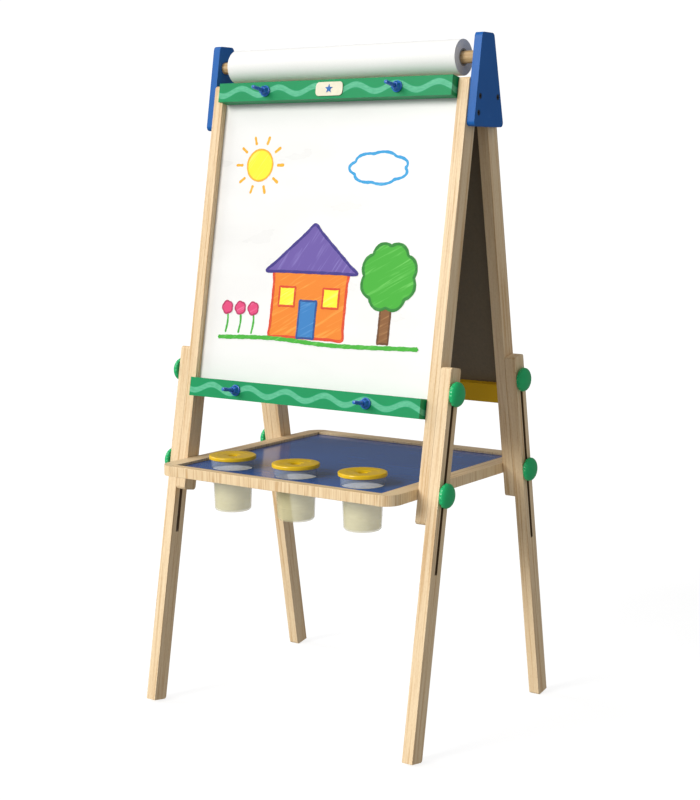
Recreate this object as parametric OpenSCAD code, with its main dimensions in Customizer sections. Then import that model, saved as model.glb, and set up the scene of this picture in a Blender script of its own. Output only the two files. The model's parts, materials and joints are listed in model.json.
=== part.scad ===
// Folding two-sided children's easel: two leaning frames joined by side brackets, sliding legs
// held by round knobs, a writing board with paper clamp bars, a paper roll and a tray with cups.
// Millimetres. +Z is up, +X is to the right seen from the front, the front board faces -Y.
// The origin is on the floor, midway between the four feet.

/* [Frame] */
// Clear width between the two posts of one frame, halved
inner_half = 237; // [200:1:300]
// Thickness of the posts and legs, across the easel
stock_t = 19; // [15:0.5:24]
// Depth of the posts and legs, front to back
stock_d = 30; // [26:1:36]
// Lean of each frame from upright, in degrees
lean = 10; // [8:0.5:12]
// Gap between the tops of the front and rear posts
top_gap = 15.14; // [12:0.01:24]
// Length up the frame to the top of the posts
post_top = 1082; // [1060:1:1100]
// Length of post below the lower knob
post_tail = 49.32; // [30:0.01:60]
// Radius of the rounded post and leg ends
end_r = 6; // [3:0.5:9]
// Thickness of the front and rear boards
board_t = 4; // [3:0.5:4.5]
// Setback of the boards from the posts' outer plane
board_setback = 11.5; // [11:0.5:13]
// Height of the crossbars behind the boards
crossbar_h = 32; // [24:1:34]
// Diameter of the wooden pins that join crossbars and posts
pin_d = 8; // [6:0.5:9]
// Depth that each wooden pin goes into a post
pin_depth = 11; // [8:1:13]

/* [Legs] */
// Length of leg above the upper knob
leg_over = 41; // [25:1:90]
// Length up the frame to the upper knob
upper_knob_s = 585; // [583:1:592]
// Length up the frame to the centre of the round lower end of a leg's slot
slot_bottom = 305; // [280:1:330]
// Diameter of the knobs' steel studs
stud_d = 6; // [5:0.5:7]
// Width of the slot beyond the stud's diameter
slot_play = 0.8; // [0.4:0.1:1.5]
// Diameter of a knob
knob_d = 40; // [34:1:46]
// Height of a knob from its seat to its crown
knob_h = 15; // [12:0.5:18]
// Number of finger flutes round a knob
knob_flutes = 10; // [6:1:14]

/* [Clamp bars] */
// Height of a clamp bar
clamp_h = 32; // [26:1:34]
// Thickness of a clamp bar
clamp_t = 24; // [20:0.5:25]
// Gap for paper between a clamp bar and the board
paper_gap = 2.5; // [1:0.5:4]
// Gap between a clamp bar's end and the post
clamp_end_gap = 2.5; // [1.5:0.1:5]
// Distance from the middle of a clamp bar to each clamp nut
nut_x = 133; // [90:1:170]
// Diameter of the clamp bolts
bolt_d = 6.5; // [5:0.5:8]
// Length of clamp bolt in front of the bar
bolt_reach = 36; // [30:1:42]
// Diameter of a clamp nut at its base
nut_d = 19; // [15:0.5:22]
// Height of a clamp nut
nut_h = 11; // [8:0.5:14]
// Width of the badge on the upper clamp bar
badge_w = 54; // [40:1:70]
// Height of the badge
badge_h = 23; // [16:1:25]

/* [Brackets and paper roll] */
// Thickness of the side brackets
bracket_t = 14; // [12:0.5:18]
// Height of the brackets' top edge above the post tops
bracket_rise = 68.44; // [60:0.01:80]
// Distance from the post tops down to the brackets' bottom edge
bracket_drop = 77.56; // [70:0.01:95]
// Distance from the post tops down to the pivot screws
pivot_drop = 30.56; // [24:0.01:36]
// Depth of the pivot screws behind a frame's outer plane
pivot_w = 14.58; // [12:0.01:17]
// Diameter of the roll dowel
dowel_d = 20; // [16:0.5:22]
// Height of the roll dowel's axis above the post tops
dowel_rise = 31.44; // [29:0.01:34]
// Depth of the dowel's blind slots in the brackets
dowel_seat = 8; // [5:0.5:10]
// How much shorter the paper roll is than the clear width between the posts
roll_play = 17; // [10:1:90]
// Diameter of the paper roll
roll_d = 58; // [46:1:60]
// Sideways place of the roll on its dowel
roll_shift = 0; // [-8:0.5:8]

/* [Tray and cups] */
// Height of the tray's top edge
tray_top = 425.5; // [415:0.5:430]
// Height of the tray's rails
tray_h = 17.5; // [16:0.5:22]
// How far the tray's front and back reach past the feet
tray_over = 3; // [0:1:20]
// Width of the side and back rails
rail_w = 28; // [24:1:32]
// Width of the front rail
front_rail_w = 17; // [15:1:20]
// Radius of the tray's outer corners
tray_corner_r = 27; // [10:1:27]
// Thickness of the tray panel
panel_t = 4; // [3:0.5:5]
// Depth of the panel's top face below the rails
panel_drop = 4.5; // [3:0.5:6]
// Spacing of the paint cups
cup_pitch = 133.5; // [100:0.5:140]
// Gap between the tray's front rail and a cup's collar
cup_gap = 21; // [8:0.5:28]
// Radius of a cup just under the tray panel
cup_r = 34; // [28:0.5:36]
// Depth of a cup below the tray panel's top face
cup_depth = 73; // [50:1:76]
// Height of a cup's collar above the panel
collar_h = 16; // [12:0.5:18]
// Wall of a cup
cup_wall = 1.6; // [1.2:0.1:2.4]
// Thickness of a cup lid
lid_t = 5.5; // [4:0.5:7]
// Radius of the hole in a lid
lid_hole_r = 6; // [4:0.5:8]

/* [Hidden] */
$fn = 64;

slide_gap = 0.3;
fit_gap = 0.1;
pivot_gap = 0.05;
eps = 0.5;

post_out = inner_half + stock_t;
leg_in = post_out + slide_gap;
leg_out = leg_in + stock_t;
bore_w = stock_d / 2;
board_back = board_setback + board_t;
foot_half = post_top * sin(lean) + stock_d * cos(lean) + top_gap / 2;
post_top_z = post_top * cos(lean);
crossbar_t = stock_d - board_back;

stud_r = stud_d / 2;
slot_r = (stud_d + slot_play) / 2;
tray_bolt_z = tray_top - tray_h / 2;
lower_knob_s = (tray_bolt_z + bore_w * sin(lean)) / cos(lean);
foot_r = 5;
post_bottom = lower_knob_s - post_tail;
leg_top = upper_knob_s + leg_over;
leg_bottom = (foot_r + (stock_d - foot_r) * sin(lean)) / cos(lean) - foot_r;
slot_top = upper_knob_s + slot_r + slide_gap;

clamp_half = inner_half - clamp_end_gap;
clamp_back = board_setback - paper_gap;
clamp_proud = clamp_t - clamp_back;
top_clamp_s = post_top - clamp_h / 2;
bottom_clamp_s = upper_knob_s - stud_r - 9 - clamp_h / 2;
board_bottom = bottom_clamp_s - clamp_h / 2 + 4;
top_crossbar_s = post_top - crossbar_h / 2;
bottom_crossbar_s = board_bottom - 0.5 + crossbar_h / 2;
board_top = post_top - 4;
insert_r = stud_r + 1.2;
insert_l = 12;
pin_r = pin_d / 2;
pin_l = 30;

bracket_in = post_out + slide_gap;
bracket_out = bracket_in + bracket_t;
screw_r = 2.5;
screw_head_r = 4.6;
screw_l = 30;
bracket_top = post_top_z + bracket_rise;
bracket_bottom = post_top_z - bracket_drop;
pivot_z = post_top_z - pivot_drop;
pivot_y = foot_half - pivot_z * tan(lean) - pivot_w / cos(lean);
dowel_z = post_top_z + dowel_rise;
roll_l = 2 * inner_half - roll_play;
dowel_y = -9.5;
dowel_half = bracket_in + dowel_seat - 0.5;
dowel_r = dowel_d / 2;
slot_rise = 20;
slot_half = dowel_r + 0.25;

tray_side = inner_half - 0.5;
tray_half = foot_half + tray_over;
tray_bottom = tray_top - tray_h;
panel_top = tray_top - panel_drop;
panel_seat = 6;
collar_r = cup_r + 3;
cup_y = -tray_half + front_rail_w + cup_gap + collar_r;
cup_low_r = cup_r - 3;
collar_top = panel_top + collar_h;
lid_r = collar_r + 3.2;
plug_r = lid_hole_r + 4;

// Children are laid out as x, depth into the frame and length up the frame
module in_front_frame() translate([0, -foot_half, 0]) rotate([-lean, 0, 0]) children();
module in_rear_frame() mirror([0, 1, 0]) in_front_frame() children();
module on_left() mirror([1, 0, 0]) children();

// A flat outline (depth, length) made into a piece from x0 towards +X
module side_plate(x0, t) translate([x0, 0, 0]) rotate([90, 0, 90]) linear_extrude(t) children();

// A cylinder along +X from x0, centred at depth w and length s
module rod_x(x0, l, r, w, s) translate([x0, w, s]) rotate([0, 90, 0]) cylinder(h = l, r = r);

module rounded_rect(w0, w1, s0, s1, r) {
  translate([w0 + r, s0]) square([w1 - w0 - 2 * r, s1 - s0]);
  translate([w0, s0 + r]) square([w1 - w0, s1 - s0 - 2 * r]);
  for (w = [w0 + r, w1 - r], s = [s0 + r, s1 - r]) translate([w, s]) circle(r);
}

// ---- posts, crossbars and boards ----
module post(screw_s) {
  difference() {
    side_plate(inner_half, stock_t) rounded_rect(0, stock_d, post_bottom, post_top, end_r);
    rod_x(post_out - insert_l - fit_gap, insert_l + eps, insert_r + fit_gap, bore_w, upper_knob_s);
    rod_x(inner_half - eps, stock_t + 2 * eps, slot_r, bore_w, lower_knob_s);
    for (s = [top_crossbar_s, bottom_crossbar_s])
      rod_x(inner_half - eps, pin_depth + eps, pin_r + fit_gap, board_back + crossbar_t / 2, s);
    for (p = screw_s) rod_x(inner_half + 2, stock_t, screw_r + pivot_gap, p[0], p[1]);
  }
}

// Depth and length of a point (y, z) that lies in the leaning front frame
function frame_w(y, z) = (y + foot_half) * cos(lean) - z * sin(lean);
function frame_s(y, z) = (y + foot_half) * sin(lean) + z * cos(lean);
front_screw_yz = [[-pivot_y, pivot_z], [-pivot_y - 4.5, pivot_z - 26]];
front_screws = [for (p = front_screw_yz) [frame_w(p[0], p[1]), frame_s(p[0], p[1])]];
pivot_screw = [[frame_w(-pivot_y, pivot_z), frame_s(-pivot_y, pivot_z)]];

module front_post_right() color("burlywood") in_front_frame() post(front_screws);
module front_post_left() on_left() front_post_right();
module rear_post_right() color("burlywood") in_rear_frame() post(pivot_screw);
module rear_post_left() on_left() rear_post_right();

module crossbar(s) {
  difference() {
    translate([-inner_half + fit_gap, board_back, s - crossbar_h / 2])
      cube([2 * (inner_half - fit_gap), crossbar_t, crossbar_h]);
    for (side = [-1, 1])
      translate([side * (inner_half - pin_l + pin_depth - fit_gap), board_back + crossbar_t / 2, s])
        rotate([0, side * 90, 0]) cylinder(h = pin_l, r = pin_r + fit_gap);
  }
}

// Holes for the clamp bolts, along the frame's depth
module bolt_holes(s, r, w0, w1) {
  for (side = [-1, 1])
    translate([side * nut_x, w0, s]) rotate([-90, 0, 0]) cylinder(h = w1 - w0, r = r);
}

module front_crossbar(s, clamp_s) {
  color("burlywood") in_front_frame() difference() {
    crossbar(s);
    bolt_holes(clamp_s, bolt_d / 2 + fit_gap, board_back - eps, stock_d + eps);
    bolt_holes(clamp_s, bolt_d + fit_gap, stock_d - 5 - fit_gap, stock_d + eps);
  }
}
module front_crossbar_top() front_crossbar(top_crossbar_s, top_clamp_s);
module front_crossbar_bottom() front_crossbar(bottom_crossbar_s, bottom_clamp_s);
module rear_crossbar_top() color("gold") in_rear_frame() crossbar(top_crossbar_s);
module rear_crossbar_bottom() color("gold") in_rear_frame() crossbar(bottom_crossbar_s);

module crossbar_pins() {
  for (s = [top_crossbar_s, bottom_crossbar_s], side = [-1, 1])
    translate([side * (inner_half + pin_depth - fit_gap), board_back + crossbar_t / 2, s])
      rotate([0, -side * 90, 0]) cylinder(h = pin_l - fit_gap, r = pin_r);
}
module front_crossbar_pins() color("tan") in_front_frame() crossbar_pins();
module rear_crossbar_pins() color("tan") in_rear_frame() crossbar_pins();

module board() {
  half = inner_half - slide_gap;
  translate([-half, board_setback, board_bottom]) cube([2 * half, board_t, board_top - board_bottom]);
}
module whiteboard() {
  color("white") in_front_frame() difference() {
    board();
    for (s = [top_clamp_s, bottom_clamp_s])
      bolt_holes(s, bolt_d / 2 + fit_gap, board_setback - eps, board_back + eps);
  }
}
module chalkboard() color("#3a352f") in_rear_frame() board();

// ---- clamp bars, bolts, nuts and badge ----
module clamp_bar(s) {
  difference() {
    translate([-clamp_half, -clamp_proud, s - clamp_h / 2]) cube([2 * clamp_half, clamp_t, clamp_h]);
    bolt_holes(s, bolt_d / 2 + 0.4, -clamp_proud - eps, clamp_back + eps);
  }
}
module clamp_bar_top() color("mediumseagreen") in_front_frame() clamp_bar(top_clamp_s);
module clamp_bar_bottom() color("mediumseagreen") in_front_frame() clamp_bar(bottom_clamp_s);

module clamp_bolts() {
  color("royalblue") in_front_frame() for (s = [top_clamp_s, bottom_clamp_s], side = [-1, 1])
    translate([side * nut_x, stock_d, s]) rotate([90, 0, 0]) {
      cylinder(h = 5, r = bolt_d);
      cylinder(h = stock_d + clamp_proud + bolt_reach, r = bolt_d / 2);
    }
}

// A tapered six-sided nut with a round foot, its axis along the bolt
module clamp_nut(side, s) {
  seat = 0.2;
  color("royalblue") in_front_frame() translate([side * nut_x, -clamp_proud - seat, s]) rotate([90, 0, 0])
    difference() {
      union() {
        cylinder(h = 2.5, r = nut_d / 2);
        intersection() {
          cylinder(h = nut_h, r1 = nut_d / 2, r2 = nut_d / 2 - 3.5);
          cylinder(h = nut_h, r = nut_d / 2, $fn = 6);
        }
      }
      translate([0, 0, -eps]) cylinder(h = nut_h + 2 * eps, r = bolt_d / 2 + pivot_gap);
    }
}
module clamp_nut_top_left() clamp_nut(-1, top_clamp_s);
module clamp_nut_top_right() clamp_nut(1, top_clamp_s);
module clamp_nut_bottom_left() clamp_nut(-1, bottom_clamp_s);
module clamp_nut_bottom_right() clamp_nut(1, bottom_clamp_s);

// A plain plaque with a raised five-pointed star
module badge() {
  plaque_t = 2;
  star_r = badge_h / 2 - 3.5;
  color("gold") in_front_frame() translate([0, -clamp_proud, top_clamp_s]) rotate([90, 0, 0]) {
    linear_extrude(plaque_t) rounded_rect(-badge_w / 2, badge_w / 2, -badge_h / 2, badge_h / 2, 7);
    linear_extrude(plaque_t + 0.8)
      polygon([for (i = [0:9]) let (r = i % 2 == 0 ? star_r : star_r * 0.45) r * [sin(36 * i), cos(36 * i)]]);
  }
}

// ---- legs, knobs, studs and inserts ----
module leg() {
  difference() {
    side_plate(leg_in, stock_t) {
      rounded_rect(0, stock_d, leg_bottom, leg_top, foot_r);
      translate([0, leg_bottom]) square([stock_d / 2, stock_d / 2]);
    }
    side_plate(leg_in - eps, stock_t + 2 * eps) {
      translate([bore_w - slot_r, slot_bottom]) square([2 * slot_r, slot_top - slot_bottom - slot_r]);
      for (s = [slot_bottom, slot_top - slot_r]) translate([bore_w, s]) circle(slot_r);
    }
  }
}
module leg_front_right() color("burlywood") in_front_frame() leg();
module leg_front_left() on_left() leg_front_right();
module leg_rear_right() color("burlywood") in_rear_frame() leg();
module leg_rear_left() on_left() leg_rear_right();

knob_seat = leg_out + 0.2;
knob_hub_h = 2;
knob_edge_h = 3.5;
stud_in_knob = 7;

// Dome, edge and hub of a knob turned about its axis, with flutes round the edge
module knob(s) {
  knob_r = knob_d / 2;
  dome_z = knob_hub_h + knob_edge_h;
  dome_h = knob_h - dome_z;
  color("seagreen") translate([knob_seat, bore_w, s]) rotate([0, 90, 0]) difference() {
    rotate_extrude() polygon(concat(
      [[0, 0], [knob_r * 0.6, 0], [knob_r * 0.62, knob_hub_h], [knob_r - 1, knob_hub_h], [knob_r, knob_hub_h + 1]],
      [for (a = [0:10:90]) [knob_r * cos(a), dome_z + dome_h * sin(a)]]));
    for (i = [0:knob_flutes - 1]) rotate(360 * i / knob_flutes)
      translate([knob_r + 4.2, 0, -eps]) cylinder(h = knob_h, r = 5);
    translate([0, 0, -eps]) cylinder(h = stud_in_knob + eps, r = stud_r + pivot_gap);
  }
}
module knob_front_right_upper() in_front_frame() knob(upper_knob_s);
module knob_front_right_lower() in_front_frame() knob(lower_knob_s);
module knob_front_left_upper() on_left() knob_front_right_upper();
module knob_front_left_lower() on_left() knob_front_right_lower();
module knob_rear_right_upper() in_rear_frame() knob(upper_knob_s);
module knob_rear_right_lower() in_rear_frame() knob(lower_knob_s);
module knob_rear_left_upper() on_left() knob_rear_right_upper();
module knob_rear_left_lower() on_left() knob_rear_right_lower();

// The steel studs that an upper and a lower knob turn on, each reaching in to its own depth
module knob_studs(upper_end, lower_end) {
  stud_top = knob_seat + stud_in_knob - fit_gap;
  color("silver") {
    rod_x(upper_end, stud_top - upper_end, stud_r, bore_w, upper_knob_s);
    rod_x(lower_end, stud_top - lower_end, stud_r, bore_w, lower_knob_s);
  }
}
upper_stud_end = post_out - insert_l + 1;
tray_stud_end = tray_side - insert_l + 1;
open_stud_end = inner_half + 1;
module knob_studs_front_right() in_front_frame() knob_studs(upper_stud_end, tray_stud_end);
module knob_studs_front_left() on_left() knob_studs_front_right();
module knob_studs_rear_right() in_rear_frame() knob_studs(upper_stud_end, open_stud_end);
module knob_studs_rear_left() on_left() knob_studs_rear_right();

// A threaded bush, drawn as a plain tube with a running fit round the stud
module insert_tube(x0) {
  difference() {
    rod_x(x0, insert_l, insert_r, 0, 0);
    rod_x(x0 - eps, insert_l + 2 * eps, stud_r + pivot_gap, 0, 0);
  }
}
module post_inserts() {
  for (side = [0, 1]) mirror([side, 0, 0]) translate([0, bore_w, upper_knob_s]) insert_tube(post_out - insert_l);
}
module front_post_inserts() color("goldenrod") in_front_frame() post_inserts();
module rear_post_inserts() color("goldenrod") in_rear_frame() post_inserts();

// ---- brackets and screws ----
// Unit normal on the right of the line from a to b
function right_normal(a, b) = [b[1] - a[1], a[0] - b[0]] / norm(b - a);

// A convex outline whose corners are circles of radius r about the points c, listed anticlockwise
module rounded_outline(c, r) {
  n = len(c);
  polygon([for (i = [0:n - 1], k = [0, 1])
    let (before = c[(i + n - 1) % n], after = c[(i + 1) % n])
    c[i] + r * (k == 0 ? right_normal(before, c[i]) : right_normal(c[i], after))]);
  for (p = c) translate(p) circle(r);
}

// Corner centres of a bracket (y, z): a tall trapezoid, narrow at the top
bracket_r = 7;
bracket_corners = [
  [-pivot_y - 11.5, bracket_bottom + bracket_r], [pivot_y + 10.5, bracket_bottom + bracket_r],
  [pivot_y - 19.5, bracket_top - bracket_r], [-pivot_y + 10.5, bracket_top - bracket_r]];
module bracket() {
  color("steelblue") difference() {
    side_plate(bracket_in, bracket_t) rounded_outline(bracket_corners, bracket_r);
    for (p = concat(front_screw_yz, [[pivot_y, pivot_z]])) {
      rod_x(bracket_in - eps, bracket_t + 2 * eps, screw_r + fit_gap, p[0], p[1]);
      rod_x(bracket_out - 3 - fit_gap, 3 + eps, screw_head_r + fit_gap, p[0], p[1]);
    }
    rod_x(bracket_in - eps, dowel_seat + eps, dowel_r + eps, dowel_y, dowel_z);
    translate([bracket_in - eps, dowel_y, dowel_z]) rotate([slot_rise, 0, 0])
      translate([0, 0, -slot_half]) cube([dowel_seat + eps, 60, 2 * slot_half]);
  }
}
module bracket_right() bracket();
module bracket_left() on_left() bracket();

module wood_screw(p) {
  difference() {
    union() {
      rod_x(bracket_out - 3, 2.6, screw_head_r, p[0], p[1]);
      rod_x(bracket_out - screw_l, screw_l - 1, screw_r, p[0], p[1]);
    }
    translate([bracket_out - 1.8, p[0], p[1]]) rotate([0, 90, 0]) cylinder(h = 3, r = 1.9, $fn = 6);
  }
}
module bracket_screws() color("dimgray") for (side = [0, 1], p = front_screw_yz) mirror([side, 0, 0]) wood_screw(p);
module pivot_screws() color("dimgray") for (side = [0, 1]) mirror([side, 0, 0]) wood_screw([pivot_y, pivot_z]);

// ---- paper roll ----
core_r = dowel_r + 4;
module roll_dowel() color("burlywood") rod_x(-dowel_half, 2 * dowel_half, dowel_r, dowel_y, dowel_z);
module roll_core() {
  color("tan") difference() {
    rod_x(roll_shift - roll_l / 2, roll_l, core_r, dowel_y, dowel_z);
    rod_x(roll_shift - roll_l / 2 - eps, roll_l + 2 * eps, dowel_r + 1.5, dowel_y, dowel_z);
  }
}
module paper_roll() {
  color("whitesmoke") difference() {
    rod_x(roll_shift - roll_l / 2, roll_l, roll_d / 2, dowel_y, dowel_z);
    rod_x(roll_shift - roll_l / 2 - eps, roll_l + 2 * eps, core_r + pivot_gap, dowel_y, dowel_z);
  }
}

// ---- tray ----
tray_bolt_y = -foot_half + lower_knob_s * sin(lean) + bore_w * cos(lean);
panel_half_x = tray_side - rail_w + panel_seat;
panel_y0 = -tray_half + front_rail_w - panel_seat;
panel_y1 = tray_half - rail_w + panel_seat;

// The groove that the panel's edges sit in
module panel_groove() {
  translate([-panel_half_x - fit_gap, panel_y0 - fit_gap, panel_top - panel_t - fit_gap])
    cube([2 * (panel_half_x + fit_gap), panel_y1 - panel_y0 + 2 * fit_gap, panel_t + 2 * fit_gap]);
}
module tray_rail_right() {
  r = tray_corner_r;
  color("burlywood") difference() {
    translate([0, 0, tray_bottom]) linear_extrude(tray_h) {
      translate([tray_side - rail_w, -tray_half + r]) square([rail_w, 2 * (tray_half - r)]);
      translate([tray_side - rail_w, -tray_half]) square([rail_w - r, 2 * tray_half]);
      for (side = [-1, 1]) translate([tray_side - r, side * (tray_half - r)]) intersection() {
        circle(r);
        translate([0, side > 0 ? 0 : -r]) square([r, r]);
      }
    }
    panel_groove();
    for (side = [-1, 1])
      rod_x(tray_side - insert_l - fit_gap, insert_l + eps, insert_r + fit_gap, side * tray_bolt_y, tray_bolt_z);
  }
}
module tray_rail_left() on_left() tray_rail_right();
module cross_rail(y0, y1) {
  half = tray_side - rail_w;
  color("burlywood") difference() {
    translate([-half, y0, tray_bottom]) cube([2 * half, y1 - y0, tray_h]);
    panel_groove();
  }
}
module tray_rail_front() cross_rail(-tray_half, -tray_half + front_rail_w);
module tray_rail_back() cross_rail(tray_half - rail_w, tray_half);

module tray_panel() {
  color("steelblue") difference() {
    translate([-panel_half_x, panel_y0, panel_top - panel_t])
      cube([2 * panel_half_x, panel_y1 - panel_y0, panel_t]);
    for (i = [-1:1]) translate([i * cup_pitch, cup_y, panel_top - panel_t - eps])
      cylinder(h = panel_t + 2 * eps, r = cup_r + 0.8);
  }
}
module tray_inserts() {
  color("goldenrod") for (side = [0, 1], y = [-tray_bolt_y, tray_bolt_y])
    mirror([side, 0, 0]) translate([0, y, tray_bolt_z]) insert_tube(tray_side - insert_l);
}

// ---- paint cups ----
// Tapered cup that hangs by its collar, with an open mouth
module cup(i) {
  low = panel_top - cup_depth;
  floor_t = 2;
  rest = 0.2;
  color("lightyellow") translate([i * cup_pitch, cup_y, 0]) rotate_extrude() polygon([
    [0, low], [cup_low_r - 3, low], [cup_low_r, low + 3], [cup_r, panel_top + rest],
    [collar_r - 1, panel_top + rest], [collar_r, collar_top],
    [collar_r - cup_wall, collar_top], [collar_r - 1 - cup_wall, panel_top + rest + cup_wall],
    [cup_r - cup_wall, panel_top + rest + cup_wall], [cup_low_r - cup_wall, low + 4],
    [cup_low_r - 3 - cup_wall, low + floor_t], [0, low + floor_t]]);
}
module cup_left() cup(-1);
module cup_middle() cup(0);
module cup_right() cup(1);

// Lid with a skirt round the collar and a short tube under its hole
module cup_lid(i) {
  top = collar_top + lid_t;
  under = collar_top + 0.2;
  color("gold") translate([i * cup_pitch, cup_y, 0]) rotate_extrude() polygon([
    [lid_hole_r, top - 2.2], [plug_r + 2, top - 0.8], [lid_r - 1.5, top], [lid_r, top - 1.5],
    [lid_r - 0.4, collar_top - 1], [collar_r + 0.4, collar_top - 1], [collar_r + 0.4, under],
    [plug_r, under], [plug_r - 1, under - 7], [lid_hole_r, under - 7]]);
}
module cup_lid_left() cup_lid(-1);
module cup_lid_middle() cup_lid(0);
module cup_lid_right() cup_lid(1);

front_post_left();
front_post_right();
whiteboard();
front_crossbar_top();
front_crossbar_bottom();
front_crossbar_pins();
bracket_left();
bracket_right();
bracket_screws();
pivot_screws();
front_post_inserts();
clamp_bolts();
clamp_bar_top();
badge();
clamp_bar_bottom();
clamp_nut_top_left();
clamp_nut_top_right();
clamp_nut_bottom_left();
clamp_nut_bottom_right();
rear_post_left();
rear_post_right();
chalkboard();
rear_crossbar_top();
rear_crossbar_bottom();
rear_crossbar_pins();
rear_post_inserts();
leg_front_left();
leg_front_right();
leg_rear_left();
leg_rear_right();
knob_front_left_upper();
knob_front_right_upper();
knob_rear_left_upper();
knob_rear_right_upper();
knob_front_left_lower();
knob_front_right_lower();
knob_rear_left_lower();
knob_rear_right_lower();
knob_studs_front_left();
knob_studs_front_right();
knob_studs_rear_left();
knob_studs_rear_right();
tray_rail_left();
tray_rail_right();
tray_rail_front();
tray_rail_back();
tray_panel();
tray_inserts();
cup_left();
cup_middle();
cup_right();
cup_lid_left();
cup_lid_middle();
cup_lid_right();
roll_dowel();
roll_core();
paper_roll();
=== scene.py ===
import json
import math

import bmesh
import bpy
import numpy as np
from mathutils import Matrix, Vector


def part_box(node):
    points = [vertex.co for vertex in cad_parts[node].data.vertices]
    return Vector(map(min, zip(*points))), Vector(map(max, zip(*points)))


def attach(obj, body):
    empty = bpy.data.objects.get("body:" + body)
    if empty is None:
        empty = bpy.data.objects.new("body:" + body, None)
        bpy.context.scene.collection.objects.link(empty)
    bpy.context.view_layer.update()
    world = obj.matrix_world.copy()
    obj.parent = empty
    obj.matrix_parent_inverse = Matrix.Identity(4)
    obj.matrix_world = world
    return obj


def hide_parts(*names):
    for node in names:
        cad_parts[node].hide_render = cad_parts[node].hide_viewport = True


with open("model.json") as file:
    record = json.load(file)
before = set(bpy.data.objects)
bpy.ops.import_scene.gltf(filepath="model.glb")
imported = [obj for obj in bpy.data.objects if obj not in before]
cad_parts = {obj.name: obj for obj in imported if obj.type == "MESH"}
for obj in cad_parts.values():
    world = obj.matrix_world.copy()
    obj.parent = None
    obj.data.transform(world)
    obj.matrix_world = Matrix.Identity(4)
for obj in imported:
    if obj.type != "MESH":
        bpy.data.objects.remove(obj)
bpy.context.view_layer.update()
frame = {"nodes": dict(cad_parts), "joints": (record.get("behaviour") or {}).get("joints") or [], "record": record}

mm = 0.001
bodyOf = {name: body for body, names in frame["record"]["behaviour"]["bodies"].items() for name in names}
slotOf = {part["node"]: part["material_slot"] for part in frame["record"]["subparts"]}
jointOf = {joint["name"]: joint for joint in frame["joints"]}

# The leaning frames: the clamp nuts turn about the front frame's depth, which gives its lean
nutAxis = jointOf["top_left_nut_turn"]["axis"]
lean = math.atan2(nutAxis[2], -nutAxis[1])
frontDepth = np.array([0, math.cos(lean), -math.sin(lean)])
frontUp = np.array([0, math.sin(lean), math.cos(lean)])


def nodePoints(nodeName):
    vertices = frame["nodes"][nodeName].data.vertices
    points = np.zeros(len(vertices) * 3)
    vertices.foreach_get("co", points)
    return points.reshape(-1, 3)


def leanBox(nodeName, rear=False):
    # Lowest and highest (x, depth, length) of a CAD node in the axes of its leaning frame
    points = nodePoints(nodeName)
    if rear:
        points[:, 1] *= -1
    local = np.stack([points[:, 0], points @ frontDepth, points @ frontUp], 1)
    return local.min(0), local.max(0)


def leanPoint(x, depth, length):
    # From the front frame's axes back to the row's, for single numbers or whole arrays
    x, depth, length = np.broadcast_arrays(x, depth, length)
    return x[..., None] * np.array([1.0, 0, 0]) + depth[..., None] * frontDepth + length[..., None] * frontUp


# Materials
def hexColour(code):
    parts = [int(code[i:i + 2], 16) / 255 for i in (1, 3, 5)]
    return [c / 12.92 if c <= 0.04045 else ((c + 0.055) / 1.055) ** 2.4 for c in parts] + [1.0]


def addNode(tree, kind, inputs=None, stops=None, **settings):
    # One node with its settings, its input values or links, and a ramp's stops
    made = tree.nodes.new(kind)
    for key, value in settings.items():
        setattr(made, key, value)
    for key, value in (inputs or {}).items():
        if isinstance(value, bpy.types.NodeSocket):
            tree.links.new(value, made.inputs[key])
        else:
            made.inputs[key].default_value = value
    if stops:
        elements = made.color_ramp.elements
        while len(elements) < len(stops):
            elements.new(0.5)
        for element, (place, colour) in zip(elements, stops):
            element.position = place
            element.color = hexColour(colour) if isinstance(colour, str) else [colour] * 3 + [1.0]
    return made


def newMaterial(name, **fixed):
    material = bpy.data.materials.new(name)
    material.use_nodes = True
    tree = material.node_tree
    shader = tree.nodes["Principled BSDF"]
    for key, value in fixed.items():
        shader.inputs[key.replace("_", " ")].default_value = value
    return material, tree, shader


def objectCoords(tree, turn=(0, 0, 0), scale=(1, 1, 1), move=(0, 0, 0)):
    texture = addNode(tree, "ShaderNodeTexCoord")
    turned = addNode(tree, "ShaderNodeMapping", {0: texture.outputs["Object"], "Rotation": turn})
    return addNode(tree, "ShaderNodeMapping", {0: turned.outputs[0], "Scale": scale, "Location": move}).outputs[0]


def noise(tree, vector, scale=1.0, detail=2.0, turn=(0, 0, 0), **more):
    # Fractal noise, as one number; three scales stretch the pattern, one scale leaves it round
    if not isinstance(scale, float):
        stretch = {0: vector, "Scale": scale, "Rotation": turn}
        vector, scale = addNode(tree, "ShaderNodeMapping", stretch).outputs[0], 1.0
    inputs = {"Vector": vector, "Scale": scale, "Detail": detail, **more}
    return addNode(tree, "ShaderNodeTexNoise", inputs).outputs["Fac"]


def spread(tree, value, low, high, start=0.0, end=1.0):
    # The range start to end carried over to low to high, and held there
    return addNode(tree, "ShaderNodeMapRange", {0: value, 1: start, 2: end, 3: low, 4: high}).outputs[0]


def calc(tree, operation, *values, **settings):
    return addNode(tree, "ShaderNodeMath", dict(enumerate(values)), operation=operation, **settings).outputs[0]


def mixed(tree, share, first, second):
    first, second = [hexColour(c) if isinstance(c, str) else c for c in (first, second)]
    return addNode(tree, "ShaderNodeMix", {0: share, 6: first, 7: second}, data_type="RGBA").outputs[2]


def ramp(tree, value, stops):
    return addNode(tree, "ShaderNodeValToRGB", {0: value}, stops).outputs[0]


def bumped(tree, strength, depth, height):
    return addNode(tree, "ShaderNodeBump", {"Strength": strength, "Distance": depth, "Height": height}).outputs[0]


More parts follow.
